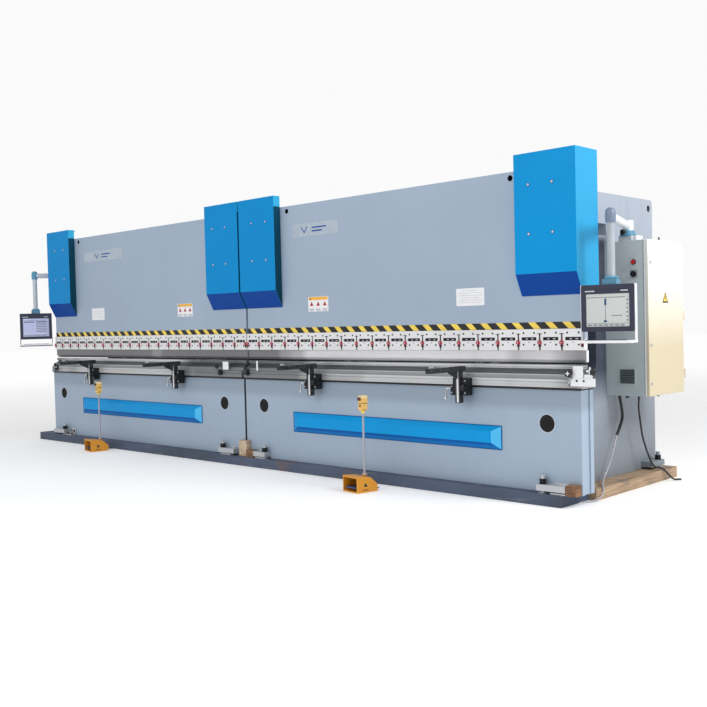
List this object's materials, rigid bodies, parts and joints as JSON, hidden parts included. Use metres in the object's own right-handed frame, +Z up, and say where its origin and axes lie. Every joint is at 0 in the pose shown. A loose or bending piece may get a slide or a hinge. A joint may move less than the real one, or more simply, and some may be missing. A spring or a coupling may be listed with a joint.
{
  "type": "press brake",
  "caption": "Tandem hydraulic press brake: two long rams with quick clamps and punches over V dies, cylinder covers, back gauges, sheet supports, swing pendants and foot switches.",
  "frame": {"origin": "on the floor under the front faces of both rams, between the two machines", "axes": "+X to the operator's right along the bending line, +Y from the operator towards the back, +Z up"},
  "size_m": [8.8274, 2.3466, 2.766],
  "materials": {
    "base_paint": "worn matt",
    "timber": "rough sawn",
    "grey_blue_paint": "satin",
    "frame_paint": "satin",
    "bright_blue_paint": "satin",
    "ground_steel": "ground",
    "clamp_plating": "bright plated",
    "black_steel": "satin",
    "cabinet_paint": "powder coat",
    "door_paint": "powder coat",
    "pendant_plastic": "satin",
    "pendant_tube": "satin",
    "pedal_yellow": "satin",
    "pedal_blue": "matt",
    "signal_red": "gloss",
    "switch_black": "matt"
  },
  "bodies": {
    "root": {"base_frame": "base_paint", "base_timber_right": "timber", "cabinet_body": "cabinet_paint", "cylinder_1": "black_steel", "cylinder_2": "black_steel", "cylinder_3": "black_steel", "cylinder_4": "black_steel", "cylinder_cover_1": "bright_blue_paint", "cylinder_cover_2": "bright_blue_paint", "cylinder_cover_3": "bright_blue_paint", "cylinder_cover_4": "bright_blue_paint", "die_bed_left": "ground_steel", "die_bed_right": "ground_steel", "die_left": "ground_steel", "die_right": "ground_steel", "foot_switch_left": "pedal_yellow", "foot_switch_right": "pedal_yellow", "gauge_slideway_left": "black_steel", "gauge_slideway_right": "black_steel", "oil_tank_left": "frame_paint", "oil_tank_right": "frame_paint", "pump_motor_left": "bright_blue_paint", "pump_motor_right": "bright_blue_paint", "side_frame_1": "frame_paint", "side_frame_2": "frame_paint", "side_frame_3": "frame_paint", "side_frame_4": "frame_paint", "table_left": "grey_blue_paint", "table_right": "grey_blue_paint"},
    "ram_left": {"ram_left": "grey_blue_paint", "clamp_row_left": "clamp_plating", "punch_left": "ground_steel"},
    "back_gauge_left": {"gauge_beam_left": "clamp_plating"},
    "pendant_arm_left": {"pendant_arm_left": "pendant_tube"},
    "pendant_panel_left": {"pendant_panel_left": "pendant_plastic"},
    "pedal_left": {"pedal_left": "pedal_blue"},
    "stop_button_left": {"stop_button_left": "signal_red"},
    "ram_right": {"ram_right": "grey_blue_paint", "clamp_row_right": "clamp_plating", "punch_right": "ground_steel"},
    "back_gauge_right": {"gauge_beam_right": "clamp_plating"},
    "pendant_arm_right": {"pendant_arm_right": "pendant_tube"},
    "pendant_panel_right": {"pendant_panel_right": "pendant_plastic"},
    "pedal_right": {"pedal_right": "pedal_blue"},
    "stop_button_right": {"stop_button_right": "signal_red"},
    "gauge_finger_1": {"gauge_finger_1": "ground_steel"},
    "support_carriage_1": {"support_carriage_1": "black_steel"},
    "support_arm_1": {"support_arm_1": "black_steel"},
    "gauge_finger_2": {"gauge_finger_2": "ground_steel"},
    "support_carriage_2": {"support_carriage_2": "black_steel"},
    "support_arm_2": {"support_arm_2": "black_steel"},
    "gauge_finger_3": {"gauge_finger_3": "ground_steel"},
    "support_carriage_3": {"support_carriage_3": "black_steel"},
    "support_arm_3": {"support_arm_3": "black_steel"},
    "gauge_finger_4": {"gauge_finger_4": "ground_steel"},
    "support_carriage_4": {"support_carriage_4": "black_steel"},
    "support_arm_4": {"support_arm_4": "black_steel"},
    "cabinet_door": {"cabinet_door": "door_paint"},
    "red_button": {"red_button": "signal_red"},
    "main_switch": {"main_switch_knob": "switch_black"}
  },
  "joints": [
    {"name": "ram_left_stroke", "type": "slide", "parent": "root", "child": "ram_left", "axis": [0, 0, 1], "range_m": [-0.008, 0.19]},
    {"name": "ram_right_stroke", "type": "slide", "parent": "root", "child": "ram_right", "axis": [0, 0, 1], "range_m": [-0.008, 0.19]},
    {"name": "back_gauge_left_depth", "type": "slide", "parent": "root", "child": "back_gauge_left", "axis": [0, 1, 0], "range_m": [-0.14, 0.44]},
    {"name": "back_gauge_right_depth", "type": "slide", "parent": "root", "child": "back_gauge_right", "axis": [0, 1, 0], "range_m": [-0.14, 0.44]},
    {"name": "gauge_finger_1_slide", "type": "slide", "parent": "back_gauge_left", "child": "gauge_finger_1", "axis": [1, 0, 0], "range_m": [-0.6, 0.6]},
    {"name": "gauge_finger_2_slide", "type": "slide", "parent": "back_gauge_left", "child": "gauge_finger_2", "axis": [1, 0, 0], "range_m": [-0.6, 0.6]},
    {"name": "gauge_finger_3_slide", "type": "slide", "parent": "back_gauge_right", "child": "gauge_finger_3", "axis": [1, 0, 0], "range_m": [-0.6, 0.6]},
    {"name": "gauge_finger_4_slide", "type": "slide", "parent": "back_gauge_right", "child": "gauge_finger_4", "axis": [1, 0, 0], "range_m": [-0.6, 0.6]},
    {"name": "support_1_slide", "type": "slide", "parent": "root", "child": "support_carriage_1", "axis": [1, 0, 0], "range_m": [-0.6, 0.6]},
    {"name": "support_1_height", "type": "slide", "parent": "support_carriage_1", "child": "support_arm_1", "axis": [0, 0, 1], "range_m": [-0.05, 0.03]},
    {"name": "support_2_slide", "type": "slide", "parent": "root", "child": "support_carriage_2", "axis": [1, 0, 0], "range_m": [-0.6, 0.6]},
    {"name": "support_2_height", "type": "slide", "parent": "support_carriage_2", "child": "support_arm_2", "axis": [0, 0, 1], "range_m": [-0.05, 0.03]},
    {"name": "support_3_slide", "type": "slide", "parent": "root", "child": "support_carriage_3", "axis": [1, 0, 0], "range_m": [-0.6, 0.6]},
    {"name": "support_3_height", "type": "slide", "parent": "support_carriage_3", "child": "support_arm_3", "axis": [0, 0, 1], "range_m": [-0.05, 0.03]},
    {"name": "support_4_slide", "type": "slide", "parent": "root", "child": "support_carriage_4", "axis": [1, 0, 0], "range_m": [-0.6, 0.6]},
    {"name": "support_4_height", "type": "slide", "parent": "support_carriage_4", "child": "support_arm_4", "axis": [0, 0, 1], "range_m": [-0.05, 0.03]},
    {"name": "pendant_arm_left_swing", "type": "hinge", "parent": "root", "child": "pendant_arm_left", "pos_m": [-3.93, 0.53, 2.215], "axis": [0, 0, 1], "range_deg": [-95, 0]},
    {"name": "pendant_panel_left_turn", "type": "hinge", "parent": "pendant_arm_left", "child": "pendant_panel_left", "pos_m": [-4.3, -0.12, 2.215], "axis": [0, 0, 1], "range_deg": [-60, 45]},
    {"name": "pendant_arm_right_swing", "type": "hinge", "parent": "root", "child": "pendant_arm_right", "pos_m": [3.92, 0.86, 2.215], "axis": [0, 0, 1], "range_deg": [0, 95]},
    {"name": "pendant_panel_right_turn", "type": "hinge", "parent": "pendant_arm_right", "child": "pendant_panel_right", "pos_m": [4.225, 0, 2.215], "axis": [0, 0, 1], "range_deg": [-10, 75]},
    {"name": "cabinet_door_swing", "type": "hinge", "parent": "root", "child": "cabinet_door", "pos_m": [4.1273, 1.442, 1.445], "axis": [0, 0, 1], "range_deg": [0, 110]},
    {"name": "main_switch_turn", "type": "hinge", "parent": "root", "child": "main_switch", "pos_m": [4, 0.795, 1.811], "axis": [0, 1, 0], "range_deg": [0, 90]},
    {"name": "red_button_press", "type": "slide", "parent": "root", "child": "red_button", "axis": [0, 1, 0], "range_m": [0, 0.005], "stiffness_N_per_m": 400},
    {"name": "pedal_left_press", "type": "hinge", "parent": "root", "child": "pedal_left", "pos_m": [-2.43611, -0.29122, 0.034], "axis": [0.9848, -0.1736, 0], "range_deg": [0, 6], "stiffness_Nm_per_rad": 8},
    {"name": "stop_button_left_press", "type": "slide", "parent": "root", "child": "stop_button_left", "axis": [0.1736, 0.9848, 0], "range_m": [0, 0.004], "stiffness_N_per_m": 2000},
    {"name": "pedal_right_press", "type": "hinge", "parent": "root", "child": "pedal_right", "pos_m": [2.07389, -0.42122, 0.034], "axis": [0.9848, -0.1736, 0], "range_deg": [0, 6], "stiffness_Nm_per_rad": 8},
    {"name": "stop_button_right_press", "type": "slide", "parent": "root", "child": "stop_button_right", "axis": [0.1736, 0.9848, 0], "range_m": [0, 0.004], "stiffness_N_per_m": 2000}
  ]
}
